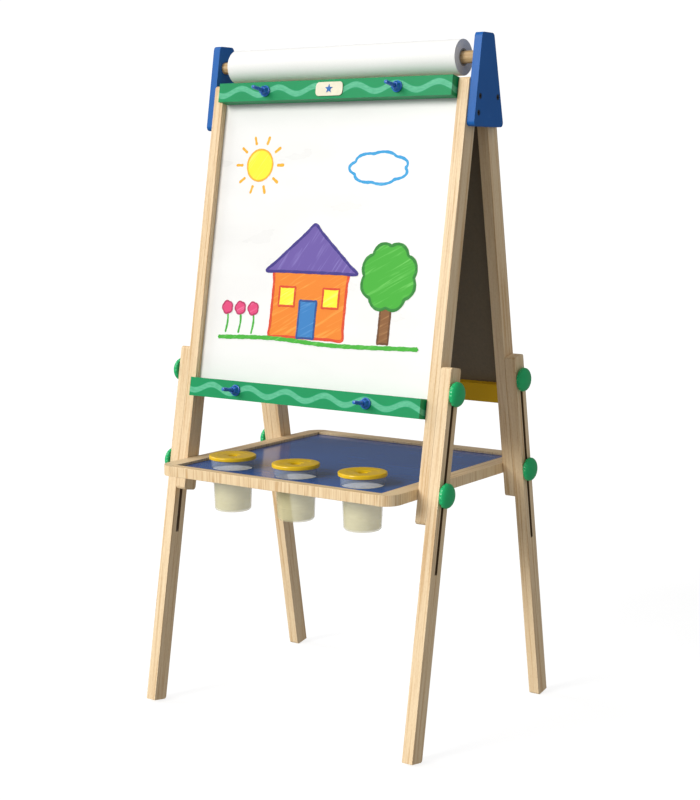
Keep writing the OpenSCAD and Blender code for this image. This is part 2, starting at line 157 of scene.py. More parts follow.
def repaint(material):
    # A finished material opened again: its tree, its shader and the colour it has so far
    shader = material.node_tree.nodes["Principled BSDF"]
    return material.node_tree, shader, shader.inputs["Base Color"].links[0].from_socket


def link(tree, shader, **sockets):
    for key, value in sockets.items():
        tree.links.new(value, shader.inputs[key.replace("_", " ")])


def pine(name, turn, seed, light="#F5DDB6", dark="#D3AC78", slot=None):
    # Clear-coated pine: quarter-sawn, sanded and lacquered, so fine straight grain with a soft satin gloss
    material, tree, shader = newMaterial(name, IOR=1.5, Coat_Weight=0.05, Coat_Roughness=0.3)
    upright = objectCoords(tree, turn)
    place = addNode(tree, "ShaderNodeMapping", {0: upright, "Location": (seed * 0.173, seed * 0.311, seed * 0.057)})
    place = place.outputs[0]
    # growth lines about 4 mm apart and fibres about 1.5 mm across, drawn out some 50 and 35 times along the length
    lines = noise(tree, place, (270, 270, 5), 2.0, Roughness=0.4, Distortion=0.2)
    fibres = noise(tree, place, (640, 640, 18), 3.0)
    flecks = noise(tree, place, (420, 420, 190), 1.0)
    blotch = noise(tree, place, (40, 40, 3), 2.0)
    lined, furred = spread(tree, lines, 0.0, 0.60, 0.5, 0.68), spread(tree, fibres, 0.0, 0.34, 0.35, 0.7)
    amount = calc(tree, "ADD", lined, furred)
    for layer in (spread(tree, flecks, 0.0, 0.16, 0.45, 0.7), spread(tree, blotch, -0.05, 0.20, 0.3, 0.7)):
        amount = calc(tree, "ADD", amount, layer, use_clamp=True)
    colour = mixed(tree, amount, light, dark)
    if slot:
        # the routed slot's walls are painted darker than the faces, as painted shade inside the slot
        axes = addNode(tree, "ShaderNodeSeparateXYZ", {0: upright}).outputs
        slotShadeMask = [calc(tree, "LESS_THAN", calc(tree, "ABSOLUTE", calc(tree, "SUBTRACT", axes[axis], middle)), reach)
                  for axis, middle, reach in ((1, slot["depth"], slot["half"]), (2, slot["middle"], slot["reach"]))]
        colour = mixed(tree, calc(tree, "MULTIPLY", *slotShadeMask), colour, "#6B5335")
    link(tree, shader, Base_Color=colour, Roughness=spread(tree, fibres, 0.42, 0.62),
         Normal=bumped(tree, 0.14, 0.4 * mm, fibres))
    return material


def edgedPine(name, turn, seed):
    # Tray rail: pine whose narrow outer edge shows short upright grain lines about 3 mm apart
    material = pine(name, turn, seed)
    tree, shader, flat = repaint(material)
    texture = addNode(tree, "ShaderNodeTexCoord")
    lines = noise(tree, texture.outputs["Object"], (330, 330, 14), 2.0)
    edge = ramp(tree, lines, [(0.36, "#F4DBB2"), (0.54, "#EBCEA2"), (0.70, "#D2AB78")])
    upright = addNode(tree, "ShaderNodeSeparateXYZ", {0: texture.outputs["Normal"]})
    side = spread(tree, calc(tree, "ABSOLUTE", upright.outputs[2]), 1.0, 0.0, 0.45, 0.75)
    both = mixed(tree, side, flat, edge)
    link(tree, shader, Base_Color=both)
    return material


def paintOnWood(name, base, worn, seed, rough=(0.42, 0.54), turn=(0, 0, 0), coat=0.04):
    # Satin paint sprayed on sanded wood: even colour, faint grain telling through, a slightly uneven gloss
    material, tree, shader = newMaterial(name, IOR=1.5, Specular_IOR_Level=0.2, Coat_Weight=coat,
                                         Coat_Roughness=0.16)
    place = objectCoords(tree, turn, (1, 1, 1), (seed, seed * 0.7, seed * 0.3))
    cloud = noise(tree, place, 24.0, 4.0)
    orange = noise(tree, place, 900.0, 2.0)
    scuff = noise(tree, place, (60, 60, 320), 6.0)
    scuffed = spread(tree, scuff, 0.0, 0.35, 0.62, 0.8)
    shade = spread(tree, cloud, 0.90, 1.08)
    tone = addNode(tree, "ShaderNodeVectorMath", {0: hexColour(base)[:3], 3: shade}, operation="SCALE")
    colour = mixed(tree, scuffed, tone.outputs[0], worn)
    gloss = spread(tree, cloud, rough[0], rough[1])
    bump = bumped(tree, 0.10, 0.3 * mm, orange)
    link(tree, shader, Base_Color=colour, Roughness=gloss, Normal=bump)
    return material


def moulded(name, base, seed, rough=(0.22, 0.34), depth=0.08, coat=0.0):
    # Injection-moulded plastic: saturated even colour, a fine tool texture and soft flow marks
    material, tree, shader = newMaterial(name, IOR=1.49, Coat_Weight=coat, Coat_Roughness=0.08)
    place = objectCoords(tree, (0, 0, 0), (1, 1, 1), (seed, seed * 1.7, seed * 0.4))
    flow = noise(tree, place, 90.0, 3.0, Distortion=0.6)
    grit = noise(tree, place, 1400.0, 2.0)
    shade = spread(tree, flow, 0.88, 1.10)
    tone = addNode(tree, "ShaderNodeVectorMath", {0: hexColour(base)[:3], 3: shade}, operation="SCALE")
    gloss = spread(tree, flow, rough[0], rough[1])
    bump = bumped(tree, depth, 0.2 * mm, grit)
    link(tree, shader, Base_Color=tone.outputs[0], Roughness=gloss, Normal=bump)
    return material


leanTurn = (lean, 0, 0)         # turns the front frame upright for its grain
backTurn = (-lean, 0, 0)
print("frame loaded, lean", round(math.degrees(lean), 2))

# Mesh tools
def finishMesh(mesh, name, material, body, slot, replaced=(), smooth=35, merge=1e-6, fix=True):
    shape = bmesh.new()
    shape.from_mesh(mesh)
    bmesh.ops.remove_doubles(shape, verts=shape.verts, dist=merge)
    bmesh.ops.dissolve_degenerate(shape, edges=shape.edges, dist=merge)
    if fix:
        bmesh.ops.recalc_face_normals(shape, faces=shape.faces)
    shape.to_mesh(mesh)
    shape.free()
    mesh.shade_smooth()
    mesh.set_sharp_from_angle(angle=math.radians(smooth))
    piece = bpy.data.objects.new(name, mesh)
    bpy.context.scene.collection.objects.link(piece)
    mesh.materials.append(material)
    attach(piece, body)
    if replaced:
        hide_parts(*replaced)
    return piece


def gridFaces(rows, columns, offset):
    # Four-cornered faces that join each ring of points to the next and close round it
    i = np.arange(rows - 1)[:, None]
    j = np.arange(columns)[None, :]
    k = (j + 1) % columns
    quads = np.stack([i * columns + j, i * columns + k, (i + 1) * columns + k, (i + 1) * columns + j], -1)
    return quads.reshape(-1, 4) + offset


def gridMesh(name, grids):
    # One mesh from grids of points: grid[i, j] is step i along and step j round, joined to its neighbours
    points, faces, start = [], [], 0
    for grid in grids:
        rows, columns = grid.shape[:2]
        points.append(grid.reshape(-1, 3))
        faces.append(gridFaces(rows, columns, start))
        start += rows * columns
    points = np.concatenate(points)
    faces = np.concatenate(faces)
    mesh = bpy.data.meshes.new(name)
    mesh.vertices.add(len(points))
    mesh.vertices.foreach_set("co", points.astype(np.float32).ravel())
    mesh.loops.add(faces.size)
    mesh.loops.foreach_set("vertex_index", faces.astype(np.int32).ravel())
    mesh.polygons.add(len(faces))
    mesh.polygons.foreach_set("loop_start", np.arange(0, faces.size, 4, dtype=np.int32))
    mesh.update(calc_edges=True)
    mesh.validate()
    return mesh


def gridPiece(name, grids, *place, **more):
    return finishMesh(gridMesh(name, grids), name, *place, **more)


def turnedGrid(profile, origin, axis, steps, swell=None):
    # Profile (radius, height) carried round the axis: point = origin + height * axis + radius * direction(angle)
    axis = np.array(axis, float) / np.linalg.norm(axis)
    side = np.array([0, 0, 1] if abs(axis[2]) < 0.9 else [1, 0, 0], float)
    first = np.cross(np.cross(axis, side), axis)
    first /= np.linalg.norm(first)
    second = np.cross(axis, first)
    angle = np.linspace(0, 2 * np.pi, steps, endpoint=False)
    radius = np.repeat(profile[:, :1], steps, 1)
    height = np.repeat(profile[:, 1:2], steps, 1)
    if swell is not None:
        radius, height = swell(radius, height, angle[None, :])
    return (np.array(origin)[None, None] + height[..., None] * axis
            + radius[..., None] * (np.cos(angle)[:, None] * first + np.sin(angle)[:, None] * second)[None])


def rounded(profile, radius, steps=3):
    # A profile with each corner replaced by a short curve that starts and ends within radius of it
    profile = [np.array(p, float) for p in profile]
    out = [profile[0]]
    for before, corner, after in zip(profile, profile[1:], profile[2:]):
        a, b = before - corner, after - corner
        cut = min(radius, 0.45 * np.linalg.norm(a), 0.45 * np.linalg.norm(b))
        a, b = corner + a / np.linalg.norm(a) * cut, corner + b / np.linalg.norm(b) * cut
        for t in np.linspace(0, 1, steps + 1):
            out.append((1 - t) ** 2 * a + 2 * t * (1 - t) * corner + t * t * b)
    return np.array(out + [profile[-1]])


def easedCopy(nodeName, material, width, segments=2):
    # A CAD node's own shape with its edges eased by a small bevel, as a cutter or sandpaper leaves them
    mesh = frame["nodes"][nodeName].data.copy()
    mesh.materials.clear()
    mesh.name = nodeName + "_eased"
    shape = bmesh.new()
    shape.from_mesh(mesh)
    bmesh.ops.remove_doubles(shape, verts=shape.verts, dist=2e-6)
    bmesh.ops.dissolve_limit(shape, angle_limit=math.radians(0.6), verts=shape.verts, edges=shape.edges)
    shape.to_mesh(mesh)
    shape.free()
    piece = finishMesh(mesh, nodeName + "_eased", material, bodyOf[nodeName], slotOf[nodeName], [nodeName],
                       35, 2e-6, False)
    bevel = piece.modifiers.new("eased edges", "BEVEL")
    bevel.width = width
    bevel.segments = segments
    bevel.limit_method = "ANGLE"
    bevel.angle_limit = math.radians(30)
    bevel.harden_normals = True
    bevel.miter_outer = "MITER_ARC"
    return piece


def dress(nodeName, material):
    # A CAD node that stays as it is and only gets its material
    node = frame["nodes"][nodeName]
    node.data.materials.clear()
    node.data.materials.append(material)


# Posts, legs, crossbars and boards
wood = {"edge": 1.1 * mm, "bar": 1.0 * mm, "slotHalf": 3.6 * mm, "slotLow": 296 * mm}


def legSlot(end, side):
    # Where the slot lies in the leg: its depth and ends follow the studs and the leg's slide
    post = leanBox("knob_studs_" + end + "_" + side, end == "rear")
    middle = (post[0] + post[1]) / 2
    low = leanBox("leg_" + end + "_" + side, end == "rear")[0][2] + wood["slotLow"]
    top = post[1][2] + 1.2 * mm
    return {"depth": float(middle[1]), "half": wood["slotHalf"], "middle": float((top + low) / 2),
            "reach": float((top - low) / 2)}


for number, (end, side) in enumerate([("front", "left"), ("front", "right"), ("rear", "left"), ("rear", "right")]):
    turn = leanTurn if end == "front" else backTurn
    place = legSlot(end, side)
    if end == "rear":
        place["depth"] *= -1                    # turned upright, the rear frame's depth runs the other way
    for kind in ("post", "leg"):
        nodeName = (end + "_post_" + side) if kind == "post" else ("leg_" + end + "_" + side)
        easedCopy(nodeName, pine("clear-coated pine " + nodeName, turn, 1 + number + 5 * (kind == "leg"),
                                 slot=place if kind == "leg" else None), wood["edge"])
acrossTurn, alongTurn = (0, math.radians(90), 0), (math.radians(90), 0, 0)
for number, nodeName in enumerate(["front_crossbar_top", "front_crossbar_bottom"]):
    easedCopy(nodeName, pine("clear-coated pine " + nodeName, acrossTurn, 13 + number), wood["bar"])
yellowPaint = paintOnWood("satin yellow paint", "#E0B010", "#C79A22", 0.4)
for nodeName in ("rear_crossbar_top", "rear_crossbar_bottom"):
    easedCopy(nodeName, yellowPaint, wood["bar"])
birch = pine("turned birch", acrossTurn, 21, "#DDBE8E", "#BE9660")
for nodeName in ("front_crossbar_pins", "rear_crossbar_pins", "roll_dowel"):
    dress(nodeName, birch)


def whiteLaminate():
    # Melamine-faced hardboard: bright white with a clear gloss, wiped marks and a few hairline scratches
    material, tree, shader = newMaterial("white melamine board", IOR=1.5, Coat_Weight=0.2, Coat_Roughness=0.12)
    place = objectCoords(tree, leanTurn)
    wiped = noise(tree, place, (5, 5, 16), 5.0)
    hair = noise(tree, place, (90, 90, 900), 2.0, turn=(0, 0.5, 0))
    colour = ramp(tree, wiped, [(0.25, "#F0F0EF"), (0.5, "#F4F4F3"), (0.8, "#F7F7F6")])
    rough = spread(tree, wiped, 0.2, 0.42)
    bump = bumped(tree, 0.03, 0.2 * mm, hair)
    link(tree, shader, Base_Color=colour, Roughness=rough, Normal=bump)
    return material


def chalkFace():
    # Chalk paint on hardboard: very matt dark grey-brown with old chalk dust wiped about
    material, tree, shader = newMaterial("chalkboard paint", IOR=1.45)
    place = objectCoords(tree, backTurn)
    dust = noise(tree, place, (4, 4, 11), 7.0, turn=(0, 0.6, 0), Distortion=1.2)
    grain = noise(tree, place, 700.0, 3.0)
    colour = ramp(tree, dust, [(0.35, "#38322B"), (0.55, "#443D35"), (0.8, "#5B544B")])
    bump = bumped(tree, 0.07, 0.3 * mm, grain)
    rough = spread(tree, dust, 0.8, 0.95)
    # the inner side is bare brown hardboard, the rear face is painted
    low = leanBox("chalkboard", True)[0]
    fibre = noise(tree, place, 260.0, 5.0)
    bare = ramp(tree, fibre, [(0.25, "#766B58"), (0.75, "#80745F")])
    depth = addNode(tree, "ShaderNodeSeparateXYZ", {0: place}).outputs[1]
    inner = calc(tree, "LESS_THAN", depth, float(-low[1] - 0.8 * mm))
    both = mixed(tree, inner, colour, bare)
    link(tree, shader, Base_Color=both, Roughness=rough, Normal=bump)
    return material


easedCopy("whiteboard", whiteLaminate(), 0.4 * mm)
easedCopy("chalkboard", chalkFace(), 0.4 * mm)
print("wooden frames and boards")

# Clamp bars with a painted wave
wave = {"length": 79 * mm, "height": 6.0 * mm, "band": 4.7 * mm, "line": 0.9 * mm, "start": -225 * mm}


def wavePaint(nodeName):
    # Satin green paint with a pale stripe along a sine wave, which carries on round the bar's ends.
    # The stripe is where |length - middle - height * sin(2 pi (x + depth) / wavelength)| is under half its width.
    low, high = leanBox(nodeName)
    material = paintOnWood("satin green paint " + nodeName, "#08955A", "#138A57", 0.8, (0.42, 0.52), leanTurn)
    tree, shader, green = repaint(material)
    place = addNode(tree, "ShaderNodeSeparateXYZ", {0: objectCoords(tree, leanTurn)})
    x, depth, length = place.outputs
    side = calc(tree, "SIGN", x)
    inward = calc(tree, "ADD", depth, float(-low[1]))
    along = calc(tree, "MULTIPLY_ADD", side, inward, x)
    phase = calc(tree, "MULTIPLY_ADD", along, 2 * math.pi / wave["length"],
                 -2 * math.pi * (wave["start"] / wave["length"] + 0.25))
    rise = calc(tree, "SINE", phase)
    middle = calc(tree, "MULTIPLY_ADD", rise, wave["height"], float((low[2] + high[2]) / 2))
    off = calc(tree, "ABSOLUTE", calc(tree, "SUBTRACT", length, middle))
    band = spread(tree, off, 1.0, 0.0, wave["band"] - 0.3 * mm, wave["band"] + 0.3 * mm)
    rim = spread(tree, off, 1.0, 0.0, wave["band"] + wave["line"], wave["band"] + wave["line"] + 0.6 * mm)
    brushed = noise(tree, objectCoords(tree, leanTurn, (120, 120, 500)), 1.0, 3.0)
    pale = ramp(tree, brushed, [(0.3, "#4FB487"), (0.5, "#59BB90"), (0.75, "#66C49A")])
    edged = mixed(tree, rim, green, "#0E9D66")
    both = mixed(tree, band, edged, pale)
    link(tree, shader, Base_Color=both)
    return material


for nodeName in ("clamp_bar_top", "clamp_bar_bottom"):
    easedCopy(nodeName, wavePaint(nodeName), 1.0 * mm, 2)


# Clamp bolts and nuts
def blueThread(name, seed):
    return moulded(name, "#2A6CC6", seed, (0.2, 0.32), 0.05)


# Coarse moulded thread: radius = pitch radius + a soft saw of (height / pitch - angle / turn), closed at both ends
bolt = {"radius": 3.25 * mm, "ridge": 0.55 * mm, "pitch": 3.4 * mm, "head": 6.5 * mm, "headHeight": 5 * mm}
bolts = []
boltLow, boltHigh = leanBox("clamp_bolts")


def threadGrid(start, end, axis, radius, ridge, pitch, steps=28):
    rows = max(8, int(round((end - start) / pitch * 10)))
    height = np.linspace(start, end, rows)
    inner = np.stack([np.full(rows, radius - ridge), height], 1)
    profile = np.concatenate([[[0, start]], inner, [[(radius - ridge) * 0.6, end + 0.4 * mm], [0, end + 0.4 * mm]]])

    def turnOut(r, h, angle):
        share = (h / pitch - angle / (2 * np.pi)) % 1.0
        tooth = np.clip(1.25 - np.abs(share - 0.5) * 3.2, 0, 1)
        fade = np.clip((h - start) / pitch, 0, 1) * np.clip((end - h) / pitch * 1.5, 0, 1)
        return np.where(r > radius - ridge - 1e-9, r + ridge * tooth * fade, r), h
    return lambda origin: turnedGrid(profile, origin, axis, steps, swell=turnOut)


for level in ("top", "bottom"):
    for side in ("left", "right"):
        joint = jointOf[level + "_" + side + "_nut_turn"]
        pivot, out = np.array(joint["pos_m"]), np.array(joint["axis"])
        back = boltHigh[1] - pivot @ frontDepth          # distance behind the nut's own place
        front = pivot @ frontDepth - boltLow[1]
        head = rounded([[0, -back], [bolt["head"], -back], [bolt["head"], -back + bolt["headHeight"]],
                        [bolt["radius"], -back + bolt["headHeight"]], [bolt["radius"], -back + 11 * mm],
                        [0, -back + 11 * mm]], 0.7 * mm)
        bolts.append(turnedGrid(head, pivot, out, 28))
        bolts.append(threadGrid(-back + 10 * mm, front - 0.4 * mm, out, bolt["radius"] + 0.05 * mm, bolt["ridge"],
                                bolt["pitch"])(pivot))
gridPiece("clamp_bolt_threads", bolts, blueThread("moulded blue nylon bolts", 0.3), "front_frame", "blue_plastic",
          ["clamp_bolts"], 50)

# Six-lobed nut: a round foot, then a body whose radius swells by a cosine of six times the angle and tapers outwards
nut = {"foot": 9.5 * mm, "footHeight": 2.5 * mm, "height": 11 * mm, "top": 6.3 * mm, "lobe": 0.75 * mm,
       "bore": 3.3 * mm}
nutProfile = rounded([[nut["bore"], 0], [nut["foot"] - 0.6 * mm, 0], [nut["foot"], 0.6 * mm],
                      [nut["foot"], nut["footHeight"]], [nut["foot"] - 1.6 * mm, nut["footHeight"] + 0.4 * mm],
                      [nut["foot"] - 1.9 * mm, nut["footHeight"] + 1.4 * mm],
                      [nut["top"] + 0.4 * mm, nut["height"] - 1.6 * mm],
                      [nut["top"] - 0.8 * mm, nut["height"]], [nut["bore"] + 0.8 * mm, nut["height"]],
                      [nut["bore"], nut["height"] - 0.8 * mm], [nut["bore"], 0]], 0.6 * mm, 4)


def lobes(r, h, angle):
    body = np.clip((h - nut["footHeight"] - 0.3 * mm) / (1.2 * mm), 0, 1) * (r > nut["bore"] + 1.2 * mm)
    return r + body * nut["lobe"] * (np.cos(6 * angle) - 0.4), h


for level in ("top", "bottom"):
    for side in ("left", "right"):
        joint = jointOf[level + "_" + side + "_nut_turn"]
        nodeName = "clamp_nut_" + level + "_" + side
        pivot, out = np.array(joint["pos_m"]), np.array(joint["axis"])
        seat = leanBox(nodeName)[1][1]
        start = pivot + out * (pivot @ frontDepth - seat)
        gridPiece(nodeName + "_lobed", [turnedGrid(nutProfile, start, out, 72, swell=lobes)],
                  blueThread("moulded blue nylon " + nodeName, 1.1), bodyOf[nodeName], "blue_plastic", [nodeName],
                  40)
print("clamp bars, bolts and nuts")


# Badge
def badgePlastic():
    # Glossy moulded plaque: ivory face and the raised star in plain blue; its back edge, where it meets the board,
    # is painted grey-brown as painted shade
    material = moulded("glossy ivory plaque", "#EFE9D2", 2.0, (0.15, 0.25), 0.03)
    tree, shader, ivory = repaint(material)
    low, high = leanBox("badge")
    place = addNode(tree, "ShaderNodeSeparateXYZ", {0: objectCoords(tree, leanTurn)})
    proud = calc(tree, "LESS_THAN", place.outputs[1], float(low[1] + 0.5 * mm))
    star = mixed(tree, proud, ivory, "#2C6DB8")
    # painted shade: the back 0.9 mm of the plaque, against the board, is coloured grey-brown
    back = calc(tree, "GREATER_THAN", place.outputs[1], float(high[1] - 0.9 * mm))
    rim = mixed(tree, back, star, "#6B6455")
    link(tree, shader, Base_Color=rim)
    return material


plaque = easedCopy("badge", badgePlastic(), 0.35 * mm)
plaque.modifiers["eased edges"].harden_normals = False      # its face has a star cut in it, so it is shaded flat
plaque.data.shade_flat()

# Brackets and screws
bluePaint = paintOnWood("satin blue paint", "#1C64B4", "#3579C4", 0.2, (0.36, 0.46), coat=0.08)
for nodeName in ("bracket_left", "bracket_right"):
    easedCopy(nodeName, bluePaint, 1.6 * mm, 3)


def zincBlack(name, seed):
    # Black-passivated steel: dark, half bright, with rubbed lighter patches
    material, tree, shader = newMaterial(name, Metallic=0.85)
    place = objectCoords(tree, (0, 0, 0), (1, 1, 1), (seed, 0, 0))
    rub = noise(tree, place, 420.0, 3.0)
    colour = ramp(tree, rub, [(0.35, "#4A4A4C"), (0.6, "#5C5D60"), (0.8, "#85868A")])
    rough = spread(tree, rub, 0.3, 0.5)
    bump = bumped(tree, 0.1, 0.2 * mm, rub)
    link(tree, shader, Base_Color=colour, Roughness=rough, Normal=bump)
    return material


darkScrew = zincBlack("black-passivated screws", 0.1)
for nodeName in ("bracket_screws", "pivot_screws"):
    easedCopy(nodeName, darkScrew, 0.3 * mm)


def plainMetal(name, light, dark, seed, rough):
    # Turned and plated metal: fine rings round the stud about 1 mm apart, bright with a soft streak
    material, tree, shader = newMaterial(name, Metallic=1.0)
    place = objectCoords(tree, (0, 0, 0), (900, 140, 140), (seed, 0, 0))
    streak = noise(tree, place, 1.0, 3.0)
    colour = ramp(tree, streak, [(0.3, light), (0.7, dark)])
    gloss = spread(tree, streak, rough, rough + 0.15)
    bump = bumped(tree, 0.12, 0.2 * mm, streak)
    link(tree, shader, Base_Color=colour, Roughness=gloss, Normal=bump)
    return material


zinc = plainMetal("zinc-plated steel studs", "#B9BCC0", "#8E9297", 0.2, 0.28)
brass = plainMetal("brass bushes", "#CDA85A", "#A98442", 0.5, 0.3)
for nodeName in ("front_post_inserts", "rear_post_inserts", "tray_inserts"):
    dress(nodeName, brass)

# Knobs and their studs
knobLow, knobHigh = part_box("knob_front_right_upper")
knob = {"radius": 20 * mm, "height": knobHigh[0] - knobLow[0], "hub": 12 * mm, "hubHeight": 2 * mm,
        "edge": 3.5 * mm,
        "flutes": 15, "bite": 0.8 * mm, "fluteWide": 0.26,
        "fluteFrom": 16.5 * mm, "fluteFade": 3 * mm, "fluteTop": 2.2 * mm, "topFade": 1.5 * mm}
# Dome: radius falls as the cosine and height rises as the sine of the same angle, over a short upright edge
domeTurn = np.radians(np.linspace(0, 90, 22))
rimHeight = knob["hubHeight"] + knob["edge"]
knobProfile = np.concatenate([
    rounded([[3.1 * mm, 0.2 * mm], [knob["hub"], 0], [knob["hub"] + 0.4 * mm, knob["hubHeight"]],
             [knob["radius"] - 1.2 * mm, knob["hubHeight"]], [knob["radius"], knob["hubHeight"] + 1.2 * mm],
             [knob["radius"], rimHeight - 0.3 * mm]], 0.7 * mm),
    np.stack([knob["radius"] * np.cos(domeTurn) ** 0.9,
              rimHeight + (knob["height"] - rimHeight) * np.sin(domeTurn) ** 0.95], 1)])
knobProfile[-1, 0] = 0
knobProfile = np.concatenate([[[0, 7.05 * mm], [3.1 * mm, 7.05 * mm]], knobProfile])


def fluteRim(r, h, angle):
    # Finger flutes: the rim is cut by narrow rounded hollows that fade out up the dome
    share = (angle * knob["flutes"] / (2 * np.pi)) % 1.0
    hollow = np.clip(1 - (np.abs(share - 0.5) / knob["fluteWide"]) ** 2, 0, 1) ** 0.7
    outward = np.clip((r - knob["fluteFrom"]) / knob["fluteFade"], 0, 1)
    reach = outward * np.clip((rimHeight + knob["fluteTop"] - h) / knob["topFade"], 0, 1)
    return r - knob["bite"] * hollow * reach, h


knobGreen = moulded("moulded green nylon knobs", "#1CBB70", 0.7, (0.26, 0.36), 0.05, coat=0.1)
for end in ("front", "rear"):
    for side in ("left", "right"):
        for level in ("upper", "lower"):
            nodeName = "knob_" + end + "_" + side + "_" + level
            joint = jointOf[end + "_" + side + "_" + level + "_knob_turn"]
            low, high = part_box(nodeName)
            out = np.array(joint["axis"])
            origin = np.array(joint["pos_m"])
            origin[0] = low[0] if out[0] > 0 else high[0]
            grid = turnedGrid(knobProfile, origin, out, 144, swell=fluteRim)
            gridPiece(nodeName + "_fluted", [grid], knobGreen, bodyOf[nodeName], "green_plastic", [nodeName], 45)

stud = {"radius": 3.0 * mm, "ridge": 0.35 * mm, "pitch": 1.6 * mm}
for end in ("front", "rear"):
    for side in ("left", "right"):
        nodeName = "knob_studs_" + end + "_" + side
        points = nodePoints(nodeName)
        grids = []
        for level in ("upper", "lower"):
            joint = jointOf[end + "_" + side + "_" + level + "_knob_turn"]
            pivot, out = np.array(joint["pos_m"]), np.array(joint["axis"])
            near = np.linalg.norm(points[:, 1:] - pivot[1:], axis=1) < 6 * mm
            reach = (points[near] - pivot) @ out
            grids.append(threadGrid(reach.min(), reach.max() - 0.4 * mm, out, stud["radius"] - 0.02 * mm,
                                    stud["ridge"], stud["pitch"], 20)(pivot))
        gridPiece(nodeName + "_threaded", grids, zinc, bodyOf[nodeName], "steel", [nodeName], 50)
print("brackets, knobs and studs")

# Paper roll
def rollPaper():
    # Uncoated white drawing paper: matt, with the edges of its layers 0.1 mm apart drawn 1 mm apart on the ends
    material, tree, shader = newMaterial("uncoated drawing paper", IOR=1.45, Sheen_Weight=0.05)
    texture = addNode(tree, "ShaderNodeTexCoord")
    centre = (np.array(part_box("paper_roll")[0]) + np.array(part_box("paper_roll")[1])) / 2
    away = addNode(tree, "ShaderNodeVectorMath", {0: texture.outputs["Object"], 1: centre}, operation="SUBTRACT")
    flat = addNode(tree, "ShaderNodeVectorMath", {0: away.outputs[0], 1: (0, 1, 1)}, operation="MULTIPLY")
    radius = addNode(tree, "ShaderNodeVectorMath", {0: flat.outputs[0]}, operation="LENGTH")
    rings = addNode(tree, "ShaderNodeTexNoise", {"W": radius.outputs["Value"], "Scale": 900.0, "Detail": 2.0},
                    noise_dimensions="1D")
    fibre = noise(tree, texture.outputs["Object"], 500.0, 4.0)
    normal = addNode(tree, "ShaderNodeSeparateXYZ", {0: texture.outputs["Normal"]})
    isEnd = calc(tree, "GREATER_THAN", calc(tree, "ABSOLUTE", normal.outputs[0]), 0.6)
    endColour = ramp(tree, rings.outputs["Fac"], [(0.3, "#DAD9D6"), (0.6, "#EDECE9")])
    skin = ramp(tree, fibre, [(0.2, "#F3F3F1"), (0.8, "#FBFBFA")])
    colour = mixed(tree, isEnd, skin, endColour)
    height = addNode(tree, "ShaderNodeMix", {0: isEnd, 2: fibre, 3: rings.outputs["Fac"]},
                     data_type="FLOAT")
    bump = bumped(tree, 0.2, 0.3 * mm, height.outputs[0])
    rough = spread(tree, fibre, 0.7, 0.85)
    link(tree, shader, Base_Color=colour, Normal=bump, Roughness=rough)
    return material


rollLow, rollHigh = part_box("paper_roll")
rollTurn = jointOf["paper_roll_turn"]
paper = {"outer": (rollHigh[2] - rollLow[2]) / 2, "bore": 14.1 * mm, "sheet": 0.22 * mm, "layers": 18,
         "uneven": 0.35 * mm}
# Wound roll: the outer radius steps by one sheet at the loose end, and the layers' edges stand a little uneven
dice = np.random.default_rng(5)
half = (rollHigh[0] - rollLow[0]) / 2
stagger = dice.uniform(0, paper["uneven"], (2, paper["layers"]))
radii = np.linspace(paper["bore"], paper["outer"] - 0.5 * mm, paper["layers"])
endA = [[radii[i] + e, -half + stagger[0, i]] for i in range(paper["layers"]) for e in (0,
        radii[1] - radii[0] - 0.1 * mm)]
endB = [[radii[i] + e, half - stagger[1, i]] for i in range(paper["layers"]) for e in (0,
        radii[1] - radii[0] - 0.1 * mm)]
endA = [p for p in endA if p[0] < paper["outer"] - 0.2 * mm]
endB = [p for p in endB if p[0] < paper["outer"] - 0.2 * mm]
skinLine = [[paper["outer"], t * half] for t in np.linspace(-0.9995, 0.9995, 25)]
rollProfile = np.array(endA + [[paper["outer"], -half * 0.9999]] + skinLine + [[paper["outer"], half * 0.9999]]
                       + endB[::-1] + [endA[0]])


def woundEdge(r, h, angle):
    # One sheet's thickness is lost over a turn and regained at the loose edge, which faces the rear
    share = ((angle + 2.4) / (2 * np.pi)) % 1.0
    skin = r > paper["outer"] - 0.3 * mm
    wander = 0.12 * mm * np.sin(3 * angle + h * 21) + 0.08 * mm * np.sin(h * 55 + angle)
    return np.where(skin, r - paper["sheet"] * share - 0.2 * mm + wander, r), h


grid = turnedGrid(rollProfile, rollTurn["pos_m"], (1, 0, 0), 120, swell=woundEdge)
gridPiece("paper_roll_wound", [grid], rollPaper(), "paper", "paper", ["paper_roll"], 35)


def tubeBoard():
    # Spiral-wound greyboard: grey-brown, matt, with a slanting seam every 60 mm
    material, tree, shader = newMaterial("spiral-wound greyboard", IOR=1.45)
    place = objectCoords(tree, (0, 0.5, 0.3))
    seam = addNode(tree, "ShaderNodeTexWave", {"Vector": place, "Scale": 5.3, "Distortion": 0.2},
                   bands_direction="X")
    fibre = noise(tree, place, 800.0, 4.0)
    colour = mixed(tree, seam.outputs["Fac"], "#A29C90", "#B6B0A3")
    bump = bumped(tree, 0.3, 0.3 * mm, fibre)
    rough = spread(tree, fibre, 0.75, 0.95)
    link(tree, shader, Base_Color=colour, Normal=bump, Roughness=rough)
    return material


easedCopy("roll_core", tubeBoard(), 0.25 * mm)
print("paper roll")

# Tray
trayTurns = {"tray_rail_left": alongTurn, "tray_rail_right": alongTurn,
             "tray_rail_front": acrossTurn, "tray_rail_back": acrossTurn}
for number, (nodeName, turn) in enumerate(trayTurns.items()):
    easedCopy(nodeName, edgedPine("clear-coated pine " + nodeName, turn, 31 + number), 0.9 * mm)


